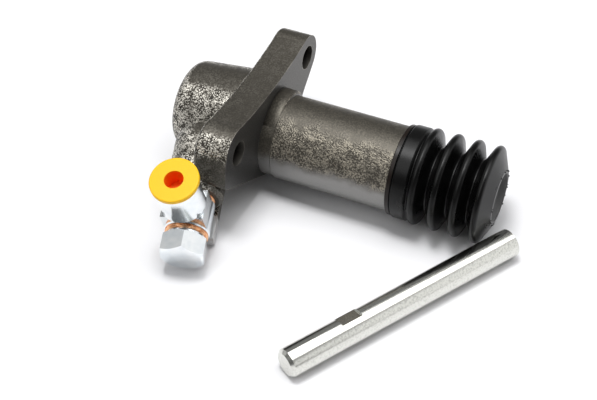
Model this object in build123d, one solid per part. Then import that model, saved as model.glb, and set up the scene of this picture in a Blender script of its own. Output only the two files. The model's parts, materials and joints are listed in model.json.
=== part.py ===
from build123d import *
import math
import os

# Clutch slave cylinder: a cast iron cylinder with a two-hole flange, a banjo union on an
# angled port, a bleed screw, a rubber boot, and its push rod lying beside it.
# Millimetres. +X runs along the bore from the closed end to the boot, +Z is up.
# The origin is on the bore's centre line at the flange's front face.

# Bore and barrel
BORE_D = 19.05
BORE_END_X = -27.0
BARREL_D = 29.2
BARREL_END_X = 51.5
NECK_D = 28.2
NECK_LENGTH = 4.4
MOUTH_CHAMFER = 0.9
EDGE_BREAK = 0.4
DRILL_POINT_ANGLE = 118.0
CUT_MARGIN = 1.0

# Closed rear end of the casting
REAR_END_X = -34.0
REAR_FRONT_R = 17.7
REAR_BACK_R = 15.5
REAR_LIFT = 1.25
REAR_SHIFT = 1.6
REAR_ROUNDING = 4.8
REAR_ROOT_R = 12.5

# Flange
FLANGE_THICKNESS = 11.7
BOLT_SPACING = 54.6
BOLT_LINE_Z = 13.1
BOLT_HOLE_D = 8.5
FAR_EAR_R = 8.0
NEAR_EAR_R = 9.3
NEAR_HEEL_R = 2.2
NEAR_HEEL_OUT = 8.0
NEAR_HEEL_DROP = 6.3
FLANGE_DIP = 2.2
FLANGE_ROUNDING = 1.2

# Port boss: where the fluid pipe's banjo bolt screws in
PORT_SWING = 15.9
PORT_DROP = 16.6
EYE_CENTRE = (-10.2, -44.2, -4.4)
PORT_BOSS_R = 9.7
PORT_BOSS_DEPTH = 18.8
PORT_BOSS_EDGE = 1.2
PORT_THREAD_D = 10.0
PORT_THREAD_DEPTH = 15.0
VALVE_CHAMBER_D = 8.6
VALVE_CHAMBER_DEPTH = 5.2
PORT_DRILLING_D = 2.8
PORT_DRILLING_DEPTH = 37.0

# Stop lug beside the union's eye
LUG_ASIDE = 6.1
LUG_BELOW = 8.8
LUG_THICKNESS = 3.0
LUG_WIDTH = 4.0
LUG_REACH = 4.3
LUG_ROOT = 22.0
LUG_END_ROUNDING = 1.4

# Banjo union
EYE_THICKNESS = 11.4
EYE_R = 7.5
NECK_INSET = 0.5
EYE_CLEARANCE = 0.35
STUB_R = 7.4
STUB_BASE = 9.2
STUB_LENGTH = 22.4
STUB_PORT_D = 8.9
STUB_PORT_DEPTH = 11.0
STUB_DRILLING_D = 3.0
UNION_EDGE = 0.6
UNION_TURN = 4.7

# Banjo bolt and washers
WASHER_OD = 14.3
WASHER_THICKNESS = 1.5
WASHER_CLEARANCE = 0.15
WASHER_SEAM = 0.3
WASHER_ROUNDING = 0.375
HEX_AF = 14.0
HEX_HEIGHT = 8.1
HEX_TURN = 24.5
HEX_CONE_ANGLE = 30.0
WASHER_FACE_HEIGHT = 0.7
BOLT_ENGAGEMENT = 10.5
BOLT_DRILLING_D = 4.0
BOLT_CROSS_D = 3.0
BOLT_WAIST_D = 8.4
BOLT_WAIST_LENGTH = 5.7
THREAD_CLEARANCE = 0.05

# Transit plug in the union
PLUG_FLANGE_D = 16.0
PLUG_FLANGE_THICKNESS = 1.8
PLUG_SHANK_LENGTH = 8.5
PLUG_CLEARANCE = 0.06
PLUG_TIP_D = 7.6
PLUG_RECESS_D = 6.3
PLUG_RECESS_DEPTH = 6.5
PLUG_EDGE = 0.45

# Check valve behind the banjo bolt
VALVE_PLATE_D = 8.2
VALVE_PLATE_THICKNESS = 1.2
VALVE_BLEED_D = 1.2
VALVE_GAP = 0.05
VALVE_WIRE_D = 0.5
VALVE_SPRING_D = 5.0
VALVE_SPRING_TURNS = 4

# Bleed screw and its cap
BLEED_X = -19.5
BLEED_DROP = 10.0
BLEED_BOSS_R = 6.3
BLEED_BOSS_STANDOUT = 3.3
BLEED_THREAD_D = 8.0
BLEED_THREAD_DEPTH = 9.0
BLEED_CONE_HEIGHT = 2.0
BLEED_DRILLING_D = 3.0
BLEED_GAP = 1.2
BLEED_HEX_AF = 10.0
BLEED_HEX_HEIGHT = 4.6
BLEED_NIPPLE_D = 6.0
BLEED_NIPPLE_LENGTH = 9.0
BLEED_NECK_D = 4.8
BLEED_BORE_D = 2.4
CAP_WALL = 1.6
CAP_CROWN = 2.0
CAP_CLEARANCE = 0.1

# Piston, cup, spring and stop ring
PISTON_CLEARANCE = 0.04
PISTON_LENGTH = 26.0
PISTON_WAIST_D = 14.5
PISTON_LAND = 5.0
SOCKET_D = 10.4
SOCKET_DEPTH = 9.0
CUP_THICKNESS = 5.6
CUP_LIP = 1.3
CUP_LIP_DEPTH = 3.4
NOSE_D = 8.0
NOSE_HEAD_D = 10.0
NOSE_HEAD_LENGTH = 1.4
SPRING_WIRE_D = 1.4
SPRING_CLEARANCE = 1.025
SPRING_TURNS = 9
STOP_RING_X = 48.0
STOP_RING_THICKNESS = 1.0
STOP_RING_WIDTH = 2.2
STOP_RING_GROOVE = 0.9
STOP_RING_GAP_ANGLE = 50.0

# Boot
BOOT_START_X = 45.9
BOOT_LIP_R = 15.5
BOOT_LIP_WIDTH = 1.5
BOOT_LIP_GROOVE = 0.5
BOOT_BEAD_WIDTH = 2.2
BOOT_BEAD_DEPTH = 0.9
BOOT_BAND_R = 15.9
FIRST_FOLD_X = 55.0
FOLD_PITCH = 7.07
FIRST_FOLD_HALF = 1.77
FOLD_COUNT = 4
FOLD_R = 16.48
VALLEY_R = 10.2
SHALLOW_VALLEY_R = 14.9
CREST_ROUNDING = 1.3
VALLEY_ROUNDING = 0.5
CREST_STEPS = 6
FOLD_LEAN = 0.3
BOOT_WALL = 1.25
BOOT_MOUTH_R = 5.3
BOOT_MOUTH_OUTER_R = 9.4
BOOT_END_LENGTH = 3.9
BOOT_RIM_WIDTH = 1.2
BOOT_MOUTH_RECESS = 2.6
BOOT_EDGE_ROUNDING = 0.3
BOOT_GROOVE_ROUNDING = 0.1
BOOT_BAND_SHOULDER = 1.0
BOOT_RIM_ROUNDING = 0.35

# Push rod, lying where it was taken off
ROD_D = 9.6
ROD_LENGTH = 89.4
ROD_BEYOND_BOOT = 7.4
ROD_BESIDE_AXIS = 5.45
ROD_HEADING = 58.4
ROD_CHAMFER = 1.0
ROD_DOME_HEIGHT = 1.5
ROD_GRIP_START = 20.5
ROD_GRIP_LENGTH = 7.5
ROD_GRIP_DEPTH = 0.7
ROD_GRIP_TURN = -20.0

FROM_START = (Align.CENTER, Align.CENTER, Align.MIN)
FLOOR_Z = -FOLD_R
BLEED_BOSS_REACH = REAR_FRONT_R + BLEED_BOSS_STANDOUT
BOOT_END_X = FIRST_FOLD_X + (FOLD_COUNT - 1) * FOLD_PITCH + BOOT_END_LENGTH


def direction(swing, drop):
    """A unit vector, turned in plan from -Y towards +X by swing, and down by drop."""
    flat = math.cos(math.radians(drop))
    return Vector(
        flat * math.sin(math.radians(swing)),
        -flat * math.cos(math.radians(swing)),
        -math.sin(math.radians(drop)),
    )


def bar(frame, radius, start, end):
    """A round bar along the frame's own z, between two heights."""
    return frame.offset(start) * Cylinder(radius, end - start, align=FROM_START)


def hexagon(frame, across_flats, start, end, turn=0.0):
    """A hexagon bar along the frame's own z."""
    section = RegularPolygon(across_flats / 2, 6, major_radius=False, rotation=turn)
    return extrude(frame.offset(start) * section, end - start)


def turned(points):
    """A solid of revolution about the bore's line, from (x, radius) corners."""
    outline = Polyline([(x, r) for x, r in points], close=True)
    return revolve(make_face(outline), Axis.X)


# Frames of the port, the union, the lug and the bleed screw.
BORE_FRAME = Plane.YZ
port_axis = direction(PORT_SWING, PORT_DROP)
port_side = Vector(0, 0, 1).cross(port_axis).normalized()
PORT_FRAME = Plane(origin=EYE_CENTRE, x_dir=port_side, z_dir=port_axis)
stub_side = port_side.rotate(Axis((0, 0, 0), port_axis), UNION_TURN)
stub_axis = port_axis.cross(stub_side)
STUB_FRAME = Plane(origin=EYE_CENTRE, x_dir=stub_side, z_dir=stub_axis)
bleed_axis = Vector(0, math.cos(math.radians(BLEED_DROP)), -math.sin(math.radians(BLEED_DROP)))
BLEED_FRAME = Plane(origin=(BLEED_X, 0, 0), x_dir=(1, 0, 0), z_dir=bleed_axis)

# Heights along the port's axis, from the middle of the union's eye.
eye_face = EYE_THICKNESS / 2
head_face = eye_face + WASHER_THICKNESS
boss_face = -head_face
bolt_tip = boss_face - BOLT_ENGAGEMENT
thread_end = boss_face - PORT_THREAD_DEPTH
chamber_end = thread_end - VALVE_CHAMBER_DEPTH
valve_face = bolt_tip - VALVE_GAP

BORE_R = BORE_D / 2
BARREL_R = BARREL_D / 2


def flange_blank():
    """The flange: two unequal ears, their tangent flanks, and a slightly dished top edge."""
    far_hole = (BOLT_SPACING / 2, BOLT_LINE_Z)
    near_hole = (-BOLT_SPACING / 2, BOLT_LINE_Z)
    heel = (near_hole[0] - NEAR_HEEL_OUT, BOLT_LINE_Z - NEAR_HEEL_DROP)
    barrel = Circle(BARREL_R)
    far_ear = make_hull((Pos(*far_hole) * Circle(FAR_EAR_R)).edges() + barrel.edges())
    near_ear = make_hull(
        (Pos(*near_hole) * Circle(NEAR_EAR_R)).edges()
        + (Pos(*heel) * Circle(NEAR_HEEL_R)).edges()
        + barrel.edges()
    )
    far_top = (far_hole[0], BOLT_LINE_Z + FAR_EAR_R)
    near_top = (near_hole[0], BOLT_LINE_Z + NEAR_EAR_R)
    dip = (0, (far_top[1] + near_top[1]) / 2 - FLANGE_DIP)
    top_edge = ThreePointArc(far_top, dip, near_top)
    rest = Polyline(near_top, near_hole, (0, 0), far_hole, far_top)
    web = make_face(top_edge + rest)
    outline = far_ear + near_ear + web
    blank = extrude(BORE_FRAME.offset(-FLANGE_THICKNESS) * outline, FLANGE_THICKNESS)
    rear_edges = blank.edges().group_by(Axis.X)[0]
    return fillet(rear_edges, FLANGE_ROUNDING)


def rear_end():
    """The fat closed end behind the flange, drafted and rounded like the cast part."""
    root_x = -FLANGE_THICKNESS / 2
    body = turned(
        [
            (REAR_END_X, 0),
            (REAR_END_X, REAR_BACK_R),
            (-FLANGE_THICKNESS, REAR_FRONT_R),
            (root_x, REAR_ROOT_R),
            (root_x, 0),
        ]
    )
    rim = body.edges().group_by(Axis.X)[0]
    return Pos(0, REAR_SHIFT, REAR_LIFT) * fillet(rim, REAR_ROUNDING)


def stop_lug():
    """A flat cast finger beside the union's eye, parallel to the banjo bolt."""
    finger = Pos(LUG_ASIDE, -LUG_BELOW) * Rectangle(LUG_THICKNESS, LUG_WIDTH)
    finger = extrude(PORT_FRAME.offset(-LUG_ROOT) * finger, LUG_ROOT + LUG_REACH)
    ends = finger.edges().filter_by(Axis(EYE_CENTRE, port_side))
    tip = ends.sort_by(Axis(EYE_CENTRE, port_axis))[-2:]
    return fillet(tip, LUG_END_ROUNDING)


def cylinder_body():
    casting = flange_blank() + rear_end()
    casting += bar(BORE_FRAME, NECK_D / 2, 0, NECK_LENGTH)
    barrel = bar(BORE_FRAME, BARREL_R, NECK_LENGTH, BARREL_END_X)
    casting += chamfer(barrel.edges().filter_by(GeomType.CIRCLE), EDGE_BREAK)
    boss_root = boss_face - PORT_BOSS_DEPTH
    boss = bar(PORT_FRAME, PORT_BOSS_R, boss_root, boss_face)
    boss_rim = boss.edges().filter_by(GeomType.CIRCLE).sort_by(Axis(EYE_CENTRE, port_axis))[-1]
    casting += chamfer(boss_rim, PORT_BOSS_EDGE)
    casting += PORT_FRAME.offset(boss_root) * Sphere(PORT_BOSS_R)
    casting += stop_lug()
    casting += bar(BLEED_FRAME, BLEED_BOSS_R, 0, BLEED_BOSS_REACH)

    # The bore, its mouth, and the stop ring's groove.
    drill_point = BORE_R / math.tan(math.radians(DRILL_POINT_ANGLE / 2))
    casting -= turned(
        [
            (BORE_END_X - drill_point, 0),
            (BORE_END_X, BORE_R),
            (STOP_RING_X, BORE_R),
            (STOP_RING_X, BORE_R + STOP_RING_GROOVE),
            (STOP_RING_X + STOP_RING_THICKNESS, BORE_R + STOP_RING_GROOVE),
            (STOP_RING_X + STOP_RING_THICKNESS, BORE_R),
            (BARREL_END_X - MOUTH_CHAMFER, BORE_R),
            (BARREL_END_X, BORE_R + MOUTH_CHAMFER),
            (BARREL_END_X, 0),
        ]
    )
    # The boot's groove round the barrel.
    groove_x = BOOT_START_X + BOOT_LIP_WIDTH
    groove_end_x = groove_x + BOOT_BEAD_WIDTH
    groove = bar(BORE_FRAME, BARREL_R + CUT_MARGIN, groove_x, groove_end_x)
    casting -= groove - bar(BORE_FRAME, BARREL_R - BOOT_BEAD_DEPTH, groove_x, groove_end_x)
    # The bolt holes.
    for side in (-1, 1):
        hole_frame = Plane(origin=(0, side * BOLT_SPACING / 2, BOLT_LINE_Z), z_dir=(1, 0, 0))
        casting -= bar(hole_frame, BOLT_HOLE_D / 2, -FLANGE_THICKNESS - CUT_MARGIN, CUT_MARGIN)
    # The port: thread, valve chamber, and the drilling into the bore.
    casting -= bar(PORT_FRAME, PORT_THREAD_D / 2 + THREAD_CLEARANCE, thread_end, boss_face)
    casting -= bar(PORT_FRAME, VALVE_CHAMBER_D / 2, chamber_end, thread_end)
    casting -= bar(PORT_FRAME, PORT_DRILLING_D / 2, boss_face - PORT_DRILLING_DEPTH, chamber_end)
    # The bleed screw's thread, its cone seat, and the drilling into the bore.
    bleed_floor = BLEED_BOSS_REACH - BLEED_THREAD_DEPTH
    bleed_thread_r = BLEED_THREAD_D / 2 + THREAD_CLEARANCE
    casting -= bar(BLEED_FRAME, bleed_thread_r, bleed_floor, BLEED_BOSS_REACH)
    casting -= bar(BLEED_FRAME, BLEED_DRILLING_D / 2, 0, bleed_floor)
    return casting


def banjo_bolt():
    tip_r = PORT_THREAD_D / 2
    hex_low = head_face + WASHER_FACE_HEIGHT
    hex_high = head_face + HEX_HEIGHT
    head = hexagon(PORT_FRAME, HEX_AF, hex_low, hex_high, HEX_TURN)
    # Both ends of the hexagon are turned to a shallow cone.
    flat_r = HEX_AF / 2 - EDGE_BREAK
    wide_r = HEX_AF / math.sqrt(3) + CUT_MARGIN
    rise = (wide_r - flat_r) * math.tan(math.radians(HEX_CONE_ANGLE))
    crown = PORT_FRAME.offset(hex_high - rise) * Cone(wide_r, flat_r, rise, align=FROM_START)
    base = PORT_FRAME.offset(hex_low) * Cone(flat_r, wide_r, rise, align=FROM_START)
    middle = bar(PORT_FRAME, wide_r, hex_low + rise, hex_high - rise)
    head = head & (crown + middle + base)
    head += bar(PORT_FRAME, flat_r, head_face, hex_low)
    shank = bar(PORT_FRAME, tip_r, bolt_tip, head_face)
    tip = shank.edges().filter_by(GeomType.CIRCLE).sort_by(Axis(EYE_CENTRE, port_axis))[0]
    bolt = head + chamfer(tip, 2 * EDGE_BREAK)
    # The waist inside the eye lets the fluid round to the cross drillings.
    waist_half = BOLT_WAIST_LENGTH / 2
    waist = bar(PORT_FRAME, tip_r + CUT_MARGIN, -waist_half, waist_half)
    bolt -= waist - bar(PORT_FRAME, BOLT_WAIST_D / 2, -waist_half, waist_half)
    bolt -= bar(PORT_FRAME, BOLT_DRILLING_D / 2, bolt_tip, BOLT_CROSS_D / 2)
    cross = Plane(origin=EYE_CENTRE, x_dir=port_axis, z_dir=stub_axis)
    bolt -= bar(cross, BOLT_CROSS_D / 2, -tip_r, tip_r)
    return bolt


def copper_washer(start):
    """A crush washer folded from sheet, with the fold's seam round its rim."""
    ring = bar(PORT_FRAME, WASHER_OD / 2, start, start + WASHER_THICKNESS)
    ring = fillet(ring.edges().filter_by(GeomType.CIRCLE), WASHER_ROUNDING)
    middle = PORT_FRAME.offset(start + WASHER_THICKNESS / 2)
    seam = middle * Torus(WASHER_OD / 2, WASHER_SEAM)
    hole_r = PORT_THREAD_D / 2 + WASHER_CLEARANCE
    return ring - seam - bar(PORT_FRAME, hole_r, start, start + WASHER_THICKNESS)


def outer_washer():
    return copper_washer(eye_face)


def inner_washer():
    return copper_washer(boss_face)


def banjo_union():
    eye = bar(PORT_FRAME, EYE_R, -eye_face, eye_face)
    eye = chamfer(eye.edges().filter_by(GeomType.CIRCLE), EDGE_BREAK)
    # A flat-sided neck joins the eye to the round stub.
    neck = STUB_FRAME * Rectangle(2 * (EYE_R - NECK_INSET), EYE_THICKNESS - 2 * EDGE_BREAK)
    neck = extrude(neck, STUB_BASE)
    stub = bar(STUB_FRAME, STUB_R, STUB_BASE, STUB_LENGTH)
    stub = chamfer(stub.edges().filter_by(GeomType.CIRCLE), UNION_EDGE)
    union = eye + neck + stub
    union -= bar(PORT_FRAME, PORT_THREAD_D / 2 + EYE_CLEARANCE, -eye_face, eye_face)
    port_floor = STUB_LENGTH - STUB_PORT_DEPTH
    union -= bar(STUB_FRAME, STUB_PORT_D / 2, port_floor, STUB_LENGTH)
    union -= bar(STUB_FRAME, STUB_DRILLING_D / 2, 0, port_floor)
    return union


def union_plug():
    top = STUB_LENGTH + PLUG_FLANGE_THICKNESS
    flange = bar(STUB_FRAME, PLUG_FLANGE_D / 2, STUB_LENGTH, top)
    flange = fillet(flange.edges().filter_by(GeomType.CIRCLE), PLUG_EDGE)
    wide_r = STUB_PORT_D / 2 - PLUG_CLEARANCE
    shank_start = STUB_LENGTH - PLUG_SHANK_LENGTH
    shank = STUB_FRAME.offset(shank_start) * Cone(
        PLUG_TIP_D / 2, wide_r, PLUG_SHANK_LENGTH, align=FROM_START
    )
    return flange + shank - bar(STUB_FRAME, PLUG_RECESS_D / 2, top - PLUG_RECESS_DEPTH, top)


def valve_plate():
    back = valve_face - VALVE_PLATE_THICKNESS
    plate = bar(PORT_FRAME, VALVE_PLATE_D / 2, back, valve_face)
    return plate - bar(PORT_FRAME, VALVE_BLEED_D / 2, back, valve_face)


def coil(frame, start_r, end_r, start, end, turns, wire_d):
    """A coil spring between two faces. Its radius may change evenly on the way."""
    wire_r = wire_d / 2
    low = start + wire_r
    high = end - wire_r
    height = high - low
    cone_angle = math.degrees(math.atan2(end_r - start_r, height))
    path = Helix(height / turns, height, start_r, cone_angle=cone_angle)
    section = Plane(origin=path @ 0, z_dir=path % 0) * Circle(wire_r)
    return frame.offset(low) * sweep(section, path=path)


def valve_spring():
    seat = valve_face - VALVE_PLATE_THICKNESS
    radius = (VALVE_SPRING_D - VALVE_WIRE_D) / 2
    return coil(PORT_FRAME, radius, radius, chamber_end, seat, VALVE_SPRING_TURNS, VALVE_WIRE_D)


def bleed_screw():
    thread_start = BLEED_BOSS_REACH - BLEED_THREAD_DEPTH
    hex_start = BLEED_BOSS_REACH + BLEED_GAP
    hex_end = hex_start + BLEED_HEX_HEIGHT
    tip = hex_end + BLEED_NIPPLE_LENGTH
    cone_end = thread_start + BLEED_CONE_HEIGHT
    screw = BLEED_FRAME.offset(thread_start) * Cone(
        BLEED_DRILLING_D / 2, BLEED_THREAD_D / 2, BLEED_CONE_HEIGHT, align=FROM_START
    )
    screw += bar(BLEED_FRAME, BLEED_THREAD_D / 2, cone_end, hex_start)
    screw += hexagon(BLEED_FRAME, BLEED_HEX_AF, hex_start, hex_end)
    screw += bar(BLEED_FRAME, BLEED_NECK_D / 2, hex_end, tip)
    barb = bar(BLEED_FRAME, BLEED_NIPPLE_D / 2, (hex_end + tip) / 2, tip)
    screw += chamfer(barb.edges().filter_by(GeomType.CIRCLE), EDGE_BREAK)
    return screw - bar(BLEED_FRAME, BLEED_BORE_D / 2, cone_end + BLEED_CONE_HEIGHT, tip)


def bleed_cap():
    hex_end = BLEED_BOSS_REACH + BLEED_GAP + BLEED_HEX_HEIGHT
    tip = hex_end + BLEED_NIPPLE_LENGTH
    inner_r = BLEED_NIPPLE_D / 2 + CAP_CLEARANCE
    top = tip + CAP_CLEARANCE + CAP_CROWN
    cap = bar(BLEED_FRAME, inner_r + CAP_WALL, hex_end, top)
    crown = cap.edges().filter_by(GeomType.CIRCLE).sort_by(Axis((0, 0, 0), bleed_axis))[-1]
    cap = fillet(crown, CAP_WALL)
    return cap - bar(BLEED_FRAME, inner_r, hex_end, tip + CAP_CLEARANCE)


# Places along the bore, from the stop ring inwards.
piston_back = STOP_RING_X - PISTON_CLEARANCE
piston_front = piston_back - PISTON_LENGTH
cup_front = piston_front - CUP_THICKNESS
nose_tip = cup_front - NOSE_HEAD_LENGTH
piston_r = BORE_R - PISTON_CLEARANCE


def piston():
    """A spool: two lands, a waist, the rod's socket, and the nose that holds the cup."""
    blank = turned(
        [
            (nose_tip, 0),
            (nose_tip, NOSE_HEAD_D / 2 - EDGE_BREAK),
            (nose_tip + EDGE_BREAK, NOSE_HEAD_D / 2),
            (cup_front, NOSE_HEAD_D / 2),
            (cup_front, NOSE_D / 2),
            (piston_front, NOSE_D / 2),
            (piston_front, piston_r - EDGE_BREAK),
            (piston_front + EDGE_BREAK, piston_r),
            (piston_front + PISTON_LAND, piston_r),
            (piston_front + PISTON_LAND, PISTON_WAIST_D / 2),
            (piston_back - PISTON_LAND, PISTON_WAIST_D / 2),
            (piston_back - PISTON_LAND, piston_r),
            (piston_back - EDGE_BREAK, piston_r),
            (piston_back, piston_r - EDGE_BREAK),
            (piston_back, 0),
        ]
    )
    socket_r = SOCKET_D / 2
    floor = piston_back - SOCKET_DEPTH + socket_r
    return blank - bar(BORE_FRAME, socket_r, floor, piston_back) - Pos(floor, 0, 0) * Sphere(socket_r)


def piston_cup():
    """A lipped rubber cup, open towards the fluid."""
    lip_x = cup_front + CUP_LIP_DEPTH
    return turned(
        [
            (piston_front, NOSE_D / 2),
            (piston_front, piston_r - EDGE_BREAK),
            (lip_x, piston_r - EDGE_BREAK / 2),
            (cup_front, piston_r),
            (cup_front, piston_r - CUP_LIP),
            (lip_x, NOSE_HEAD_D / 2 + EDGE_BREAK),
            (cup_front, NOSE_HEAD_D / 2 - EDGE_BREAK),
            (cup_front, NOSE_D / 2),
        ]
    )


def return_spring():
    big_r = BORE_R - SPRING_CLEARANCE - SPRING_WIRE_D / 2
    small_r = (NOSE_HEAD_D - SPRING_WIRE_D) / 2 - EDGE_BREAK
    return coil(BORE_FRAME, big_r, small_r, BORE_END_X, nose_tip, SPRING_TURNS, SPRING_WIRE_D)


def stop_ring():
    outer_r = BORE_R + STOP_RING_GROOVE
    end_x = STOP_RING_X + STOP_RING_THICKNESS
    ring = bar(BORE_FRAME, outer_r, STOP_RING_X, end_x)
    ring -= bar(BORE_FRAME, outer_r - STOP_RING_WIDTH, STOP_RING_X, end_x)
    half = math.radians(STOP_RING_GAP_ANGLE / 2)
    reach = 2 * outer_r
    corners = [(0, 0), (-reach * math.sin(half), -reach), (reach * math.sin(half), -reach)]
    gap = make_face(Polyline(corners, close=True))
    return ring - extrude(BORE_FRAME.offset(STOP_RING_X) * gap, STOP_RING_THICKNESS)


def sharp_crest(crest_x, before, after):
    """The height of a fold's sharp corner whose rounded crest reaches the fold's radius."""
    height = FOLD_R
    # The corner's height and the slopes of its two flanks depend on each other.
    for _ in range(CREST_STEPS):
        rise = math.atan2(crest_x - before[0], height - before[1])
        fall = math.atan2(after[0] - crest_x, height - after[1])
        loss = math.cos((rise - fall) / 2) / math.sin((rise + fall) / 2) - 1
        height = FOLD_R + CREST_ROUNDING * loss
    return height


def boot():
    """The moulded bellows: a lip and bead on the barrel, four folds, and a recessed mouth."""
    bead_x = BOOT_START_X + BOOT_LIP_WIDTH
    bead_end_x = bead_x + BOOT_BEAD_WIDTH
    bead_r = BARREL_R - BOOT_BEAD_DEPTH
    first_valley_x = FIRST_FOLD_X - FIRST_FOLD_HALF
    crests_x = [FIRST_FOLD_X + fold * FOLD_PITCH for fold in range(FOLD_COUNT)]
    valleys = [(x + FOLD_PITCH / 2 - FOLD_LEAN, VALLEY_R) for x in crests_x[:-1]]
    lows = [(first_valley_x, SHALLOW_VALLEY_R)] + valleys + [(BOOT_END_X, BOOT_MOUTH_OUTER_R)]
    middle_crest_r = sharp_crest(crests_x[1], lows[1], lows[2])
    wall_drop = BOOT_WALL / math.sin(math.atan2(FOLD_PITCH / 2, middle_crest_r - VALLEY_R))

    outer = [
        (BOOT_START_X, BOOT_LIP_R, BOOT_EDGE_ROUNDING),
        (bead_x, BOOT_LIP_R, BOOT_EDGE_ROUNDING),
        (bead_x + BOOT_LIP_GROOVE / 2, BOOT_LIP_R - BOOT_LIP_GROOVE, BOOT_GROOVE_ROUNDING),
        (bead_x + BOOT_LIP_GROOVE, BOOT_BAND_R, BOOT_EDGE_ROUNDING),
        (first_valley_x - BOOT_BAND_SHOULDER, BOOT_BAND_R, BOOT_EDGE_ROUNDING),
        (*lows[0], BOOT_EDGE_ROUNDING),
    ]
    inner = [(first_valley_x, BARREL_R - BOOT_WALL, VALLEY_ROUNDING)]
    for crest_x, before, after in zip(crests_x, lows, lows[1:]):
        crest_r = sharp_crest(crest_x, before, after)
        outer.append((crest_x, crest_r, CREST_ROUNDING))
        inner.append((crest_x, crest_r - wall_drop, VALLEY_ROUNDING))
        if after in valleys:
            outer.append((*after, VALLEY_ROUNDING))
            inner.append((after[0], VALLEY_R - wall_drop, CREST_ROUNDING))
    # The end wall is set back inside a thin rim, and its mouth narrows to a lip.
    rim_inner_r = BOOT_MOUTH_OUTER_R - BOOT_RIM_WIDTH
    recess_x = BOOT_END_X - BOOT_MOUTH_RECESS
    outer += [
        (*lows[-1], BOOT_RIM_ROUNDING),
        (BOOT_END_X, rim_inner_r, BOOT_RIM_ROUNDING),
        (recess_x, rim_inner_r, VALLEY_ROUNDING),
        (recess_x, BOOT_MOUTH_R, 0),
    ]
    inner.append((recess_x - BOOT_WALL, BOOT_MOUTH_R + BOOT_WALL, VALLEY_ROUNDING))

    corners = [(BOOT_START_X, BARREL_R, 0)] + outer + list(reversed(inner))
    corners += [
        (BARREL_END_X, BARREL_R - BOOT_WALL, 0),
        (BARREL_END_X, BARREL_R, 0),
        (bead_end_x, BARREL_R, 0),
        (bead_end_x, bead_r, 0),
        (bead_x, bead_r, 0),
        (bead_x, BARREL_R, 0),
    ]
    path = FilletPolyline([(x, r) for x, r, _ in corners], radius=[f for _, _, f in corners], close=True)
    return revolve(make_face(path), Axis.X)


def push_rod():
    heading = Vector(math.cos(math.radians(ROD_HEADING)), math.sin(math.radians(ROD_HEADING)), 0)
    far_end = Vector(BOOT_END_X + ROD_BEYOND_BOOT, -ROD_BESIDE_AXIS, FLOOR_Z + ROD_D / 2)
    frame = Plane(origin=far_end - heading * ROD_LENGTH, x_dir=(0, 0, 1), z_dir=heading)
    rod_r = ROD_D / 2
    straight = ROD_LENGTH - ROD_DOME_HEIGHT
    rod = chamfer(Cylinder(rod_r, straight, align=FROM_START).edges().sort_by(Axis.Z)[0], ROD_CHAMFER)
    # The domed end is a slice of a sphere that meets the rod's full width.
    dome_r = (rod_r**2 + ROD_DOME_HEIGHT**2) / (2 * ROD_DOME_HEIGHT)
    dome = Pos(0, 0, ROD_LENGTH - dome_r) * Sphere(dome_r)
    rod += dome & Pos(0, 0, straight) * Cylinder(rod_r, dome_r, align=FROM_START)
    # The two flats where the rod was gripped and upset.
    for side in (-1, 1):
        offset = side * (rod_r - ROD_GRIP_DEPTH + rod_r / 2)
        cutter = Pos(offset, 0, ROD_GRIP_START) * Box(rod_r, ROD_D, ROD_GRIP_LENGTH, align=FROM_START)
        rod -= Rot(0, 0, ROD_GRIP_TURN) * cutter
    return frame * rod


PARTS = {
    "cylinder_body": cylinder_body,
    "piston": piston,
    "piston_cup": piston_cup,
    "return_spring": return_spring,
    "stop_ring": stop_ring,
    "boot": boot,
    "push_rod": push_rod,
    "banjo_bolt": banjo_bolt,
    "outer_washer": outer_washer,
    "inner_washer": inner_washer,
    "banjo_union": banjo_union,
    "union_plug": union_plug,
    "valve_plate": valve_plate,
    "valve_spring": valve_spring,
    "bleed_screw": bleed_screw,
    "bleed_cap": bleed_cap,
}

os.makedirs("parts", exist_ok=True)
for name, make in PARTS.items():
    export_step(make(), f"parts/{name}.step")
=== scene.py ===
import json
import math

import bmesh
import bpy
from mathutils import Matrix, Vector


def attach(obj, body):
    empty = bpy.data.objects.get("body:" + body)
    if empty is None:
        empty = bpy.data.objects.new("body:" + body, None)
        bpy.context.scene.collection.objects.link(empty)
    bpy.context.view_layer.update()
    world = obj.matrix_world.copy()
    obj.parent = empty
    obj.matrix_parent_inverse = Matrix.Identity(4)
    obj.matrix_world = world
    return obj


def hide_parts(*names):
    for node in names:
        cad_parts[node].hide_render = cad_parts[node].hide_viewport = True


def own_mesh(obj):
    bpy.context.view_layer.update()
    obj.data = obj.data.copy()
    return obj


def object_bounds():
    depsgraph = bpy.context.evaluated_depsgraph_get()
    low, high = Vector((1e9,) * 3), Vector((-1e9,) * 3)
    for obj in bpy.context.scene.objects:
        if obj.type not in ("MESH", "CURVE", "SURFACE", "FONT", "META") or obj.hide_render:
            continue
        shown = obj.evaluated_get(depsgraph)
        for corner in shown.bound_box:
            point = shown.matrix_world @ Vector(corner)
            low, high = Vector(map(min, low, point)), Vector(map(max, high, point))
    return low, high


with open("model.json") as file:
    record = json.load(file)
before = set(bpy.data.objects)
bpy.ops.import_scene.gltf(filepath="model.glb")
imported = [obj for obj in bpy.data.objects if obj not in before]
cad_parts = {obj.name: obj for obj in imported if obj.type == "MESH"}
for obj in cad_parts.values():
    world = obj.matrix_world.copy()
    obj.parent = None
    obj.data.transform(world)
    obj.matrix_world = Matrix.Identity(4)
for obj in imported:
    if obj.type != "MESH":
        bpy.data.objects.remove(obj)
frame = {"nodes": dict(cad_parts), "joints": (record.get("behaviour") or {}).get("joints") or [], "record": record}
cad_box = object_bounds()
nodes = frame["nodes"]
mounts = {mount["name"]: mount for mount in frame["record"]["mounts"]}
joints = {joint["name"]: joint for joint in frame["joints"]}

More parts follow.
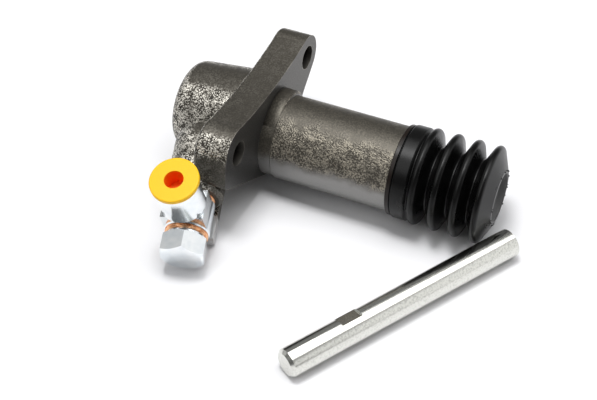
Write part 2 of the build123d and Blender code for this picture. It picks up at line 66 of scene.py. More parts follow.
# The cylinder body: one grey iron sand casting, phosphated dark grey. The sand leaves a rough
# grain, painted with shade in its pits and with glints on the sides that face the light; a grinder
# has smoothed its top, and a cutter has been over the flange's face, the bolt holes, the lug beside
# the union and the bore. The barrel's under side is painted with a reflection of the table, and the
# near ear's face and the deep bolt holes with shade.
MM = 0.001
# The pit colours are painted shade in the grain's pits, the crest colours are painted glints, the under colour is
# a painted reflection of the table, and the near cut colour and the deep hole colour are painted shade.
IRON_PIT_SHADE = "#312E29"
BARREL_PIT_SHADE = "#45413A"
IRON_SKIN = "#67635A"
IRON_PAINTED_GLINT = "#E6E2D8"
BARREL_PAINTED_GLINT = "#968F81"
IRON_SHADE = "#423F39"
IRON_UNDER_REFLECTION = "#868583"
IRON_GROUND = "#534F47"
IRON_CUT_NEAR_SHADE = "#464543"
IRON_CUT_FAR = "#4E4C48"
IRON_HOLE = "#6E6B65"
IRON_HOLE_DEEP_SHADE = "#151413"
IRON_BORE = "#8E8D8C"
IRON_LUG = "#BDBDBD"
IRON_WORN = "#A8A297"
IRON_METALLIC = 0.65
IRON_ROUGHNESS = (0.32, 0.46)
LUG_ROUGHER = 0.1
UNDER_SMOOTHER = -0.1
PLAIN_ROUGHER = 0.08

# The places on the casting, in metres, and the shares of it that each finish takes. A turn is
# how far the skin faces up, from 1 on top to -1 underneath: where its finish starts and is full.
NECK_LENGTH = 4.35 * MM
BARREL_END = 51.5 * MM
BORE_R = 9.65 * MM
BORE_START = -33.5 * MM
BORE_AXIS = Vector((1.0, 0.0, 0.0))
FLANGE_BACK = -13.0 * MM
FACE_DEPTH = 0.1 * MM
CUT_SHADE_NEAR_TO_FAR = (-4.0 * MM, 14.0 * MM)
HOLE_LIT_DEPTH = 3.5 * MM
HOLE_SLACK = 0.05 * MM
BOLT_HOLE_R = mounts["flange_bolts"]["dims"]["hole_r_mm"] * MM + HOLE_SLACK
BOLT_HALF_SPACING = mounts["flange_bolts"]["dims"]["spacing_x_mm"] / 2 * MM
BOLT_LINE_Z = mounts["flange_bolts"]["pos_m"][2]
EAR_END = (-22.0 * MM, -27.0 * MM)
EAR_END_LOWER = (0.0, -0.5)
GROUND_HEIGHT = (11.0 * MM, 13.0 * MM)
GROUND_TURN = (0.86, 0.98)
GROUND_COARSE = (1.0, 0.05)
# The under turn places the painted reflection of the table on the barrel's under side.
UNDER_TURN = (0.3, -0.05)
# The band and side turns, and the ear's end, keep the painted glints to the sides that face the light.
BAND_FROM = (0.0, 0.3)
BAND_TO = (0.98, 0.75)
SIDE_TURN = (-0.45, 0.1)
SKIN_COARSE = (0.1, 1.0)
RAGGED_TURN = (0.5, -0.25)
RAGGED_NECK = 8.0 * MM
RAGGED_GROUND = 0.25
LUG_REACH = 14.0 * MM
LUG_BEHIND_EYE = 5.0 * MM
PORT_TO_EYE = 22.4 * MM
port_mouth = Vector(mounts["fluid_port"]["pos_m"])
port_direction = Vector(mounts["fluid_port"]["axis"])
eye_centre = port_mouth - port_direction * PORT_TO_EYE
bolt_outward = -Vector(joints["valve_lift"]["axis"])

# The grain and the marks. Foundry sand is 0.2 to 0.4 mm, and a grinder's scratches and a
# cutter's feed are about 0.1 mm, so all three are drawn coarser, as they need to be to show.
SAND_GRAIN = 0.5 * MM
SAND_CLUMP = 2.4 * MM
CLUMP_SHARE = 0.5
SAND_RELIEF = 0.3 * MM
# Where the grain rises from its painted pit shade to its skin, and where its painted glints start.
SKIN_RISE = (0.6, 0.85)
CREST_RISE = (0.7, 0.92)
PLAIN_RISE = (0.2, 0.8)
GLOSS_RISE = (0.25, 0.75)
SKIN_MOTTLE = 7.0 * MM
CREST_MOTTLE = (0.3, 0.6)
CREST_SHARE = (0.35, 1.0)
GRINDER_STEP = 0.5 * MM
GRINDER_STRETCH = 0.06
GRINDER_DEPTH = 0.06 * MM
GRINDER_STRENGTH = 0.3
CUTTER_STEP = 0.35 * MM
CUTTER_DEPTH = 0.03 * MM
CUTTER_STRENGTH = 0.12
EDGE_WEAR = 0.5 * MM
EDGE_SAMPLES = 4
EDGE_TURN = (0.82, 0.97)
EDGE_SHARE = (0.75, 0.0)
CREVICE = 2.0 * MM
CREVICE_OPEN = (0.55, 0.8)
WEAR_MOTTLE = (0.35, 0.6)
ALL = (0.0, 1.0)
MOST_NOISE = (0.3, 0.7)
EASED = "SMOOTHSTEP"

# How many finer layers a noise has, and how strong they are.
PLAIN_DETAIL = 1.0
SAND_DETAIL = 1.5
BLOTCH_DETAIL = 3.0
MOTTLE_DETAIL = 4.0
MOTTLE_ROUGHNESS = 0.6

# The raised back of the neck. A profile's point is a share of its length and of its height.
SHOULDER_FROM = 15.0
SHOULDER_TO = 140.0
SHOULDER_STEPS = 40
SHOULDER_LENGTH = 4.9 * MM
SHOULDER_ROOT_R = 13.9 * MM
SHOULDER_TOP_R = 16.2 * MM
SHOULDER_LEAN = 0.66
SHOULDER_FADE = 1.4
SHOULDER_PROFILE = (
    (-0.2, 0.0), (-0.2, 1.0), (0.8, 0.95), (0.92, 0.88), (0.98, 0.72), (1.0, 0.5), (1.0, 0.0),
)


def colour(code):
    """A linear colour from an sRGB hex code."""
    parts = [int(code[place:place + 2], 16) / 255 for place in (1, 3, 5)]
    linear = [part / 12.92 if part <= 0.04045 else ((part + 0.055) / 1.055) ** 2.4 for part in parts]
    return (*linear, 1.0)


def add(tree, kind, inputs=(), **settings):
    """Adds a node, sets or links its inputs by name or in order, and gives its outputs.

    A colour is given by its code. A mix node has its factor at 0, its numbers at 2 and 3, and its
    colours at 6 and 7."""
    node = tree.nodes.new(kind)
    for name, value in settings.items():
        setattr(node, name, value)
    for socket, value in inputs.items() if isinstance(inputs, dict) else enumerate(inputs):
        target = node.inputs[socket]
        if isinstance(value, bpy.types.NodeSocket):
            tree.links.new(value, target)
        else:
            target.default_value = colour(value) if isinstance(value, str) else value
    return node.outputs


def new_material(name):
    """An empty material and its node tree."""
    made = bpy.data.materials.new(name)
    made.use_nodes = True
    made.node_tree.nodes.clear()
    return made, made.node_tree


def shaded(tree, look):
    """Closes a material with one principled shader."""
    surface = add(tree, "ShaderNodeBsdfPrincipled", look)["BSDF"]
    add(tree, "ShaderNodeOutputMaterial", {"Surface": surface})


def within_bar(tree, place, origin, axis, radius, low, high):
    """One inside a round bar along an axis, between two heights, and nothing outside it."""
    offset = add(tree, "ShaderNodeVectorMath", (place, origin), operation="SUBTRACT")[0]
    along = add(tree, "ShaderNodeVectorMath", (offset, axis), operation="DOT_PRODUCT")["Value"]
    across = add(tree, "ShaderNodeVectorMath", (offset, axis), operation="CROSS_PRODUCT")[0]
    width = add(tree, "ShaderNodeVectorMath", (across,), operation="LENGTH")["Value"]
    near = add(tree, "ShaderNodeMath", (width, radius), operation="LESS_THAN")[0]
    reach = (along, (low + high) / 2, (high - low) / 2)
    between = add(tree, "ShaderNodeMath", reach, operation="COMPARE")[0]
    return add(tree, "ShaderNodeMath", (near, between), operation="MULTIPLY")[0]


def cut_places(tree, place, x, y):
    """Where a cutter has been, where the lug is, and the cutter's colour, with painted shade on the near face and
    in the holes.
    """
    on_face = add(tree, "ShaderNodeMath", (x, 0.0, FACE_DEPTH), operation="COMPARE")[0]
    mouth = add(tree, "ShaderNodeMath", (x, BARREL_END - FACE_DEPTH), operation="GREATER_THAN")[0]
    lug = within_bar(tree, place, eye_centre, bolt_outward, LUG_REACH, -LUG_BEHIND_EYE, LUG_REACH)
    bored = within_bar(tree, place, Vector(), BORE_AXIS, BORE_R, BORE_START, BARREL_END + MM)
    holes = 0.0
    for side in (-1, 1):
        middle = Vector((0.0, side * BOLT_HALF_SPACING, BOLT_LINE_Z))
        hole = within_bar(tree, place, middle, BORE_AXIS, BOLT_HOLE_R, FLANGE_BACK, -FACE_DEPTH)
        holes = add(tree, "ShaderNodeMath", (hole, holes), operation="MAXIMUM")[0]
    cut = on_face
    for spot in (bored, lug, mouth, holes):
        cut = add(tree, "ShaderNodeMath", (cut, spot), operation="MAXIMUM")[0]

    # The cut face is painted darker towards the near ear: painted shade where the barrel shades it.
    out_of_shade = add(tree, "ShaderNodeMapRange", (y, *CUT_SHADE_NEAR_TO_FAR), interpolation_type=EASED)[0]
    metal = add(tree, "ShaderNodeMix", {0: out_of_shade, 6: IRON_CUT_NEAR_SHADE, 7: IRON_CUT_FAR}, data_type="RGBA")[2]
    # Deeper in the bolt holes the colour is painted darker: painted shade.
    lit = add(tree, "ShaderNodeMapRange", (x, -HOLE_LIT_DEPTH, 0.0), interpolation_type=EASED)[0]
    hole_shade = add(tree, "ShaderNodeMix", {0: lit, 6: IRON_HOLE_DEEP_SHADE, 7: IRON_HOLE}, data_type="RGBA")[2]
    for share, tone in ((holes, hole_shade), (bored, IRON_BORE), (lug, IRON_LUG)):
        metal = add(tree, "ShaderNodeMix", {0: share, 6: metal, 7: tone}, data_type="RGBA")[2]
    return cut, lug, metal


def sanded_and_lit_places(tree, spot, ragged, up, on_barrel):
    """Where the grain and its painted glints show, where the top is ground, and the under side's painted
    reflection.
    """
    x, y, z = spot
    turned = add(tree, "ShaderNodeMath", (up, ragged), operation="ADD")[0]

    # Ground: behind the flange's face, high up, and where the casting faces up.
    behind = add(tree, "ShaderNodeMath", (1.0, on_barrel), operation="SUBTRACT")[0]
    high = add(tree, "ShaderNodeMapRange", (z, *GROUND_HEIGHT), interpolation_type=EASED)[0]
    level = add(tree, "ShaderNodeMath", (ragged, RAGGED_GROUND, up), operation="MULTIPLY_ADD")[0]
    ground = add(tree, "ShaderNodeMapRange", (level, *GROUND_TURN), interpolation_type=EASED)[0]
    for share in (behind, high):
        ground = add(tree, "ShaderNodeMath", (ground, share), operation="MULTIPLY")[0]

    # The barrel: a band of sand grain along its sides, past the neck, with glints painted where it faces the
    # light, and a smooth under side painted lighter, a painted reflection of the table.
    under = add(tree, "ShaderNodeMapRange", (turned, *UNDER_TURN), interpolation_type=EASED)[0]
    under = add(tree, "ShaderNodeMath", (under, on_barrel), operation="MULTIPLY")[0]
    past_neck = add(tree, "ShaderNodeMath", (ragged, RAGGED_NECK, x), operation="MULTIPLY_ADD")[0]
    neck_end = (past_neck, NECK_LENGTH, NECK_LENGTH + MM)
    band = add(tree, "ShaderNodeMapRange", neck_end, interpolation_type=EASED)[0]
    for turn in (BAND_FROM, BAND_TO):
        share = add(tree, "ShaderNodeMapRange", (turned, *turn), interpolation_type=EASED)[0]
        band = add(tree, "ShaderNodeMath", (band, share), operation="MULTIPLY")[0]

    # The rest: sand grain on the sides that face the light, where its glints are painted, and on less of the ear's
    # lower end.
    lower = add(tree, "ShaderNodeMapRange", (y, *EAR_END, *EAR_END_LOWER), interpolation_type=EASED)[0]
    turned = add(tree, "ShaderNodeMath", (turned, lower), operation="ADD")[0]
    side = add(tree, "ShaderNodeMapRange", (turned, *SIDE_TURN), interpolation_type=EASED)[0]

    skin = add(tree, "ShaderNodeMix", {0: on_barrel, 2: side, 3: band})[0]
    coarse_facing_light = add(tree, "ShaderNodeMapRange", (ground, *ALL, *GROUND_COARSE), interpolation_type=EASED)[0]
    share = add(tree, "ShaderNodeMapRange", (skin, *ALL, *SKIN_COARSE), interpolation_type=EASED)[0]
    coarse_facing_light = add(tree, "ShaderNodeMath", (coarse_facing_light, share), operation="MULTIPLY")[0]
    return coarse_facing_light, ground, under


def worn_edges(tree, mottle):
    """Where an edge is worn bright: where a corner stands out in the open, in patches."""
    rounded = add(tree, "ShaderNodeBevel", {"Radius": EDGE_WEAR}, samples=EDGE_SAMPLES)[0]
    plain = add(tree, "ShaderNodeNewGeometry")["Normal"]
    alike = add(tree, "ShaderNodeVectorMath", (rounded, plain), operation="DOT_PRODUCT")["Value"]
    worn = add(tree, "ShaderNodeMapRange", (alike, *EDGE_TURN, *EDGE_SHARE), interpolation_type=EASED)[0]
    sky = add(tree, "ShaderNodeAmbientOcclusion", {"Distance": CREVICE}, samples=EDGE_SAMPLES)["AO"]
    for value, span in ((sky, CREVICE_OPEN), (mottle, WEAR_MOTTLE)):
        share = add(tree, "ShaderNodeMapRange", (value, *span), interpolation_type=EASED)[0]
        worn = add(tree, "ShaderNodeMath", (worn, share), operation="MULTIPLY")[0]
    return worn


def phosphated_iron():
    """Grey cast iron, phosphated: dull and dark, with sand grain and glints painted where it faces the light."""
    made, tree = new_material("phosphated_cast_iron")
    where = add(tree, "ShaderNodeTexCoord")
    place = where["Object"]
    up = add(tree, "ShaderNodeSeparateXYZ", (where["Normal"],))["Z"]
    x, y, z = add(tree, "ShaderNodeSeparateXYZ", (place,))
    mottling = {"Detail": MOTTLE_DETAIL, "Roughness": MOTTLE_ROUGHNESS}
    mottle = add(tree, "ShaderNodeTexNoise", {"Vector": place, "Scale": 1 / SKIN_MOTTLE, **mottling})[0]
    ragged = add(tree, "ShaderNodeMath", (mottle, *RAGGED_TURN), operation="MULTIPLY_ADD")[0]
    on_barrel = add(tree, "ShaderNodeMath", (x, FACE_DEPTH), operation="GREATER_THAN")[0]
    cut, lug, metal = cut_places(tree, place, x, y)
    coarse_facing_light, ground, under = sanded_and_lit_places(tree, (x, y, z), ragged, up, on_barrel)
    cast = add(tree, "ShaderNodeMath", (1.0, cut), operation="SUBTRACT")[0]
    coarse_facing_light = add(tree, "ShaderNodeMath", (cast, coarse_facing_light), operation="MULTIPLY")[0]

    # The sand's grain, only where the skin faces the light: painted shade in its pits, a lighter skin, and painted
    # glints on its crests, softer on the barrel.
    grains = {"Vector": place, "Scale": 1 / SAND_GRAIN, "Detail": SAND_DETAIL}
    sand = add(tree, "ShaderNodeTexNoise", grains)[0]
    clump = add(tree, "ShaderNodeTexNoise", {"Vector": place, "Scale": 1 / SAND_CLUMP})[0]
    height = add(tree, "ShaderNodeMath", (clump, CLUMP_SHARE, sand), operation="MULTIPLY_ADD")[0]
    pit_shade = add(tree, "ShaderNodeMix", {0: on_barrel, 6: IRON_PIT_SHADE, 7: BARREL_PIT_SHADE}, data_type="RGBA")[2]
    raised = add(tree, "ShaderNodeMapRange", (height, *SKIN_RISE), interpolation_type=EASED)[0]
    grain = add(tree, "ShaderNodeMix", {0: raised, 6: pit_shade, 7: IRON_SKIN}, data_type="RGBA")[2]
    raised = add(tree, "ShaderNodeMapRange", (sand, *PLAIN_RISE), interpolation_type=EASED)[0]
    plain = add(tree, "ShaderNodeMix", {0: raised, 6: IRON_SHADE, 7: IRON_GROUND}, data_type="RGBA")[2]
    glint_tone = add(tree, "ShaderNodeMix", {0: on_barrel, 6: IRON_PAINTED_GLINT, 7: BARREL_PAINTED_GLINT}, data_type="RGBA")[2]
    painted_glint = add(tree, "ShaderNodeMapRange", (height, *CREST_RISE), interpolation_type=EASED)[0]
    patches = (mottle, *CREST_MOTTLE, *CREST_SHARE)
    patch = add(tree, "ShaderNodeMapRange", patches, interpolation_type=EASED)[0]
    for share in (coarse_facing_light, patch):
        painted_glint = add(tree, "ShaderNodeMath", (painted_glint, share), operation="MULTIPLY")[0]

    # Each finish lies over the one before: the grain with its painted pit shade, the painted glints, the painted
    # reflection under the barrel, the cut metal with its painted shade, and the worn edges.
    worn = worn_edges(tree, mottle)
    base = plain
    finishes = [(coarse_facing_light, grain), (painted_glint, glint_tone), (under, IRON_UNDER_REFLECTION), (cut, metal), (worn, IRON_WORN)]
    for share, tone in finishes:
        base = add(tree, "ShaderNodeMix", {0: share, 6: base, 7: tone}, data_type="RGBA")[2]
    gloss = (sand, *GLOSS_RISE, *IRON_ROUGHNESS)
    rough = add(tree, "ShaderNodeMapRange", gloss, interpolation_type=EASED)[0]
    matt = add(tree, "ShaderNodeMath", (1.0, coarse_facing_light), operation="SUBTRACT")[0]
    matt = add(tree, "ShaderNodeMath", (cast, matt), operation="MULTIPLY")[0]
    for share, change in ((lug, LUG_ROUGHER), (under, UNDER_SMOOTHER), (matt, PLAIN_ROUGHER)):
        rough = add(tree, "ShaderNodeMath", (share, change, rough), operation="MULTIPLY_ADD")[0]

    # The relief: sand, then the grinder's long marks on the top, then the cutter's fine ones.
    sandy = {"Strength": coarse_facing_light, "Distance": SAND_RELIEF, "Height": height}
    bump = add(tree, "ShaderNodeBump", sandy)[0]
    drawn_out = add(tree, "ShaderNodeMapping", {"Vector": place, "Scale": (1.0, GRINDER_STRETCH, 1.0)})[0]
    marks = add(tree, "ShaderNodeTexNoise", {"Vector": drawn_out, "Scale": 1 / GRINDER_STEP})[0]
    strength = add(tree, "ShaderNodeMath", (ground, GRINDER_STRENGTH), operation="MULTIPLY")[0]
    grinder = {"Strength": strength, "Distance": GRINDER_DEPTH, "Height": marks, "Normal": bump}
    bump = add(tree, "ShaderNodeBump", grinder)[0]
    cutting = {"Vector": place, "Scale": 1 / CUTTER_STEP, "Detail": PLAIN_DETAIL}
    feed = add(tree, "ShaderNodeTexNoise", cutting)[0]
    cutter = {"Strength": CUTTER_STRENGTH, "Distance": CUTTER_DEPTH, "Height": feed, "Normal": bump}
    bump = add(tree, "ShaderNodeBump", cutter)[0]
    shaded(tree, {"Base Color": base, "Metallic": IRON_METALLIC, "Roughness": rough, "Normal": bump})
    return made


def dress(node_name, made):
    """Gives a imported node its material."""
    for place in nodes[node_name].material_slots:
        place.material = made


def put(name, mesh, made):
    """Adds a mesh to the scene as a piece with its material."""
    mesh.materials.append(made)
    piece = bpy.data.objects.new(name, mesh)
    bpy.context.scene.collection.objects.link(piece)
    return piece


def neck_shoulder(made):
    """The raised back of the neck: a crescent that stands highest where the mould parted."""
    shape = bmesh.new()
    rings = []
    for step in range(SHOULDER_STEPS + 1):
        share = step / SHOULDER_STEPS
        angle = math.radians(SHOULDER_FROM + (SHOULDER_TO - SHOULDER_FROM) * share)
        swell = math.sin(math.pi * share ** SHOULDER_LEAN) ** SHOULDER_FADE
        ring = []
        for along, high in SHOULDER_PROFILE:
            radius = SHOULDER_ROOT_R + (SHOULDER_TOP_R - SHOULDER_ROOT_R) * high * swell
            spot = (along * SHOULDER_LENGTH, radius * math.cos(angle), radius * math.sin(angle))
            ring.append(shape.verts.new(spot))
        rings.append(ring)
    for first, second in zip(rings, rings[1:]):
        for corner in range(len(SHOULDER_PROFILE)):
            after = (corner + 1) % len(SHOULDER_PROFILE)
            shape.faces.new((first[corner], second[corner], second[after], first[after]))
    shape.faces.new(rings[0])
    shape.faces.new(rings[-1])
    bmesh.ops.recalc_face_normals(shape, faces=shape.faces)
    for face in shape.faces:
        face.smooth = True
    mesh = bpy.data.meshes.new("neck_shoulder")
    shape.to_mesh(mesh)
    shape.free()
    return put("neck_shoulder", mesh, made)


iron = phosphated_iron()
dress("cylinder_body", iron)
shoulder = neck_shoulder(iron)
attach(shoulder, "cylinder")

# Piston, springs and stop ring: inside the bore a turned aluminium piston carries a rubber cup,
# a hard-drawn steel spring holds it against a snap ring, and a light steel plate and its
# small spring lie behind the banjo bolt as a check valve.
ALUMINIUM = "#B9BABC"
ALUMINIUM_ROUGHNESS = (0.24, 0.34)
LATHE_STEP = 0.12 * MM
LATHE_STRETCH = 0.02
LATHE_DEPTH = 0.02 * MM
LATHE_STRENGTH = 0.3
SPRING_DARK = "#6E7073"
SPRING_LIGHT = "#84868A"
SPRING_ROUGHNESS = (0.25, 0.42)
WIRE_STREAK = 0.8 * MM
WIRE_DEPTH = 0.02 * MM
WIRE_STRENGTH = 0.2
SEAM_WELD = 0.001 * MM


def turned_aluminium():
    """Turned aluminium: bright and satin, with fine rings left by the lathe."""
    made, tree = new_material("turned_aluminium")
    place = add(tree, "ShaderNodeTexCoord")["Object"]
    round_axis = {"Vector": place, "Scale": (1.0, LATHE_STRETCH, LATHE_STRETCH)}
    turned = add(tree, "ShaderNodeMapping", round_axis)[0]
    turning = {"Vector": turned, "Scale": 1 / LATHE_STEP, "Detail": PLAIN_DETAIL}
    rings = add(tree, "ShaderNodeTexNoise", turning)[0]
    gloss = (rings, *MOST_NOISE, *ALUMINIUM_ROUGHNESS)
    rough = add(tree, "ShaderNodeMapRange", gloss, interpolation_type=EASED)[0]
    relief = {"Strength": LATHE_STRENGTH, "Distance": LATHE_DEPTH, "Height": rings}
    bump = add(tree, "ShaderNodeBump", relief)[0]
    shaded(tree, {"Base Color": ALUMINIUM, "Metallic": 1.0, "Roughness": rough, "Normal": bump})
    return made


def spring_steel():
    """Hard-drawn spring steel, oiled: mid grey with a faint blotchy shine."""
    made, tree = new_material("drawn_spring_steel")
    place = add(tree, "ShaderNodeTexCoord")["Object"]
    streaks = {"Vector": place, "Scale": 1 / WIRE_STREAK, "Detail": BLOTCH_DETAIL}
    blotch = add(tree, "ShaderNodeTexNoise", streaks)[0]
    base = add(tree, "ShaderNodeMix", {0: blotch, 6: SPRING_DARK, 7: SPRING_LIGHT}, data_type="RGBA")[2]
    gloss = (blotch, *MOST_NOISE, *SPRING_ROUGHNESS)
    rough = add(tree, "ShaderNodeMapRange", gloss, interpolation_type=EASED)[0]
    relief = {"Strength": WIRE_STRENGTH, "Distance": WIRE_DEPTH, "Height": blotch}
    bump = add(tree, "ShaderNodeBump", relief)[0]
    shaded(tree, {"Base Color": base, "Metallic": 1.0, "Roughness": rough, "Normal": bump})
    return made


def working_coil(name, node_name, made):
    """A coil in the place of a packed one: its seams welded, it is held with the cylinder and the packed one is
    hidden.
    """
    solid = nodes[node_name]
    shape = bmesh.new()
    shape.from_mesh(solid.data)
    bmesh.ops.remove_doubles(shape, verts=shape.verts, dist=SEAM_WELD)
    shape.transform(solid.matrix_world)
    for face in shape.faces:
        face.smooth = True
        face.material_index = 0
    mesh = bpy.data.meshes.new(name)
    shape.to_mesh(mesh)
    shape.free()
    piece = put(name, mesh, made)
    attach(piece, "cylinder")
    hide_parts(node_name)
    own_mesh(piece)


dress("piston", turned_aluminium())
steel_wire = spring_steel()
for name in ("return_spring", "stop_ring", "valve_plate", "valve_spring"):
    dress(name, steel_wire)
working_coil("return_coil", "return_spring", steel_wire)
working_coil("valve_coil", "valve_spring", steel_wire)

# The boot and the small rubber parts: compression-moulded black rubber. The boot's bead snaps
# into a groove round the barrel, and the mould has left small nibs of flash on its rim. The
# rubber's own grain is finer than 0.1 mm, so it is drawn coarser to show.
RUBBER_BLACK = "#060606"
RUBBER_BLOOM = "#0D0D0D"
RUBBER_CUP = "#121314"
RUBBER_ROUGHNESS = (0.26, 0.36)
RUBBER_SHINE = 0.2
RUBBER_IOR = 1.52
RUBBER_GRAIN = 0.3 * MM
RUBBER_RELIEF = 0.03 * MM
RUBBER_STRENGTH = 0.2
BLOOM_PATCH = 6.0 * MM
BLOOM_RISE = (0.42, 0.75)
LIP_BROWN = "#1A1410"
LIP_START = (0.0, 1.0 * MM)
LIP_END = (47.1 * MM, 47.3 * MM)
RIM_GREY = "#2C2C2C"
RIM_START = 76.6 * MM
RIM_END = 80.1 * MM
# Inside the boot's mouth the wall is painted light grey: painted light in the recess.
MOUTH_PAINTED_LIGHT = "#7A7A7A"
MOUTH_R = 8.4 * MM
MOUTH_BEHIND_RIM = 0.7 * MM
MOUTH_INSIDE_RIM = 0.2 * MM
NIB_CIRCLE_R = 9.3 * MM
NIB_SIZE = 0.34 * MM
NIB_SEGMENTS = 10
NIB_RINGS = 6
NIB_SMALLEST = (0.4, 0.4, 0.5)
NIB_LARGEST = (1.2, 1.0, 1.3)
NIB_PLACES = 60
NIB_SHARE = 0.22
NIB_SEED = 4


def moulded_rubber(name, bloom_code):
    """Black moulded rubber: deep black, with a soft narrow shine and a dusty bloom in patches."""
    made, tree = new_material(name)
    place = add(tree, "ShaderNodeTexCoord")["Object"]
    along = add(tree, "ShaderNodeSeparateXYZ", (place,))["X"]
    blooming = {"Detail": MOTTLE_DETAIL, "Roughness": MOTTLE_ROUGHNESS}
    patch = add(tree, "ShaderNodeTexNoise", {"Vector": place, "Scale": 1 / BLOOM_PATCH, **blooming})[0]
    bloom = add(tree, "ShaderNodeMapRange", (patch, *BLOOM_RISE), interpolation_type=EASED)[0]
    lip = add(tree, "ShaderNodeMapRange", (along, *LIP_END, 1.0, 0.0), interpolation_type=EASED)[0]
    lip_start = add(tree, "ShaderNodeMapRange", (along, *LIP_START), interpolation_type=EASED)[0]
    lip = add(tree, "ShaderNodeMath", (lip, lip_start), operation="MULTIPLY")[0]
    rim = add(tree, "ShaderNodeMapRange", (along, RIM_START, RIM_START + MM), interpolation_type=EASED)[0]
    # The mouth's inner wall is painted light grey, painted light where the recess would show dark.
    depth = (RIM_START + MOUTH_BEHIND_RIM, RIM_END - MOUTH_INSIDE_RIM)
    mouth = within_bar(tree, place, Vector(), BORE_AXIS, MOUTH_R, *depth)
    base = RUBBER_BLACK
    for share, tone in ((bloom, bloom_code), (lip, LIP_BROWN), (rim, RIM_GREY), (mouth, MOUTH_PAINTED_LIGHT)):
        base = add(tree, "ShaderNodeMix", {0: share, 6: base, 7: tone}, data_type="RGBA")[2]
    gloss = (patch, *MOST_NOISE, *RUBBER_ROUGHNESS)
    rough = add(tree, "ShaderNodeMapRange", gloss, interpolation_type=EASED)[0]
    skin = add(tree, "ShaderNodeTexNoise", {"Vector": place, "Scale": 1 / RUBBER_GRAIN})[0]
    relief = {"Strength": RUBBER_STRENGTH, "Distance": RUBBER_RELIEF, "Height": skin}
    bump = add(tree, "ShaderNodeBump", relief)[0]
    look = {"Base Color": base, "Roughness": rough, "IOR": RUBBER_IOR, "Normal": bump}
    shaded(tree, {**look, "Specular IOR Level": RUBBER_SHINE})
    return made


def new_tree(name, sizes):
    """An empty Geometry Nodes tree with an input for each size, and those inputs."""
    tree = bpy.data.node_groups.new(name, "GeometryNodeTree")
    for size, value in sizes.items():
        kind = "NodeSocketInt" if isinstance(value, int) else "NodeSocketFloat"
        tree.interface.new_socket(size, in_out="INPUT", socket_type=kind)
    tree.interface.new_socket("Geometry", in_out="OUTPUT", socket_type="NodeSocketGeometry")
    return tree, add(tree, "NodeGroupInput")


def close_tree(tree, shape, made):
    """Ends a tree: its instances are made real, smooth and of one material."""
    real = add(tree, "GeometryNodeRealizeInstances", {"Geometry": shape})[0]
    soft = add(tree, "GeometryNodeSetShadeSmooth", {"Geometry": real})[0]
    painted = add(tree, "GeometryNodeSetMaterial", {"Geometry": soft, "Material": made})[0]
    add(tree, "NodeGroupOutput", {"Geometry": painted})


def run_tree(name, tree, sizes):
    """Runs a tree with its sizes, and keeps what it makes as a plain mesh."""
    piece = bpy.data.objects.new(name, bpy.data.meshes.new(name))
    bpy.context.scene.collection.objects.link(piece)
    build = piece.modifiers.new("build", "NODES")
    build.node_group = tree
    for socket in tree.interface.items_tree:
        if socket.in_out == "INPUT":
            build[socket.identifier] = sizes[socket.name]
    made = piece.evaluated_get(bpy.context.evaluated_depsgraph_get())
    mesh = bpy.data.meshes.new_from_object(made)
    piece.modifiers.remove(build)
    piece.data = mesh
    return piece


def rim_flash(made):
    """Nibs of flash at random places round the boot's rim, each of its own size."""
    sizes = {"Circle radius": NIB_CIRCLE_R, "Rim end": RIM_END, "Nib size": NIB_SIZE, "Places": NIB_PLACES}
    tree, size = new_tree("rim_flash", sizes)
    circle = {"Vertices": size["Places"], "Radius": size["Circle radius"]}
    ring = add(tree, "GeometryNodeMeshCircle", circle)[0]
    nib = {"Segments": NIB_SEGMENTS, "Rings": NIB_RINGS, "Radius": size["Nib size"]}
    ball = add(tree, "GeometryNodeMeshUVSphere", nib)[0]
    chance = {"Probability": NIB_SHARE, "Seed": NIB_SEED}
    kept = add(tree, "FunctionNodeRandomValue", chance, data_type="BOOLEAN")[3]
    growth = {0: NIB_SMALLEST, 1: NIB_LARGEST, "Seed": NIB_SEED + 1}
    grown = add(tree, "FunctionNodeRandomValue", growth, data_type="FLOAT_VECTOR")[0]
    spread = {"Points": ring, "Selection": kept, "Instance": ball, "Scale": grown}
    nibs = add(tree, "GeometryNodeInstanceOnPoints", spread)[0]
    offset = add(tree, "ShaderNodeCombineXYZ", {"X": size["Rim end"]})[0]
    stood = {"Geometry": nibs, "Translation": offset, "Rotation": (0.0, math.pi / 2, 0.0)}
    close_tree(tree, add(tree, "GeometryNodeTransform", stood)[0], made)
    return run_tree("rim_flash", tree, sizes)


boot_rubber = moulded_rubber("moulded_black_rubber", RUBBER_BLOOM)
dress("boot", boot_rubber)
dress("bleed_cap", boot_rubber)
dress("piston_cup", moulded_rubber("sealing_rubber", RUBBER_CUP))
flash = rim_flash(boot_rubber)
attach(flash, "cylinder")

# Banjo bolt, union and bleed screw: turned steel, zinc plated bright, with a faint blue cast.
# The plating is slightly uneven, with a grain drawn coarser than life so that it shows. The
# bleed screw's thread shows in the gap under its hexagon.
ZINC_BRIGHT = "#F2F5F6"
ZINC_DULL = "#E2E8EC"
ZINC_ROUGHNESS = (0.14, 0.2)
PLATING_CLOUD = 6.0 * MM
PLATING_RISE = (0.35, 0.7)
PLATING_GRAIN = 0.3 * MM
PLATING_DEPTH = 0.02 * MM
PLATING_STRENGTH = 0.06
THREAD_R = 4.0 * MM
THREAD_PITCH = 1.0 * MM
THREAD_RIDGE = 0.3 * MM
THREAD_TURNS = 1.0
THREAD_STEPS = 48
THREAD_SIDES = 6
THREAD_FROM_BOSS = 0.1 * MM


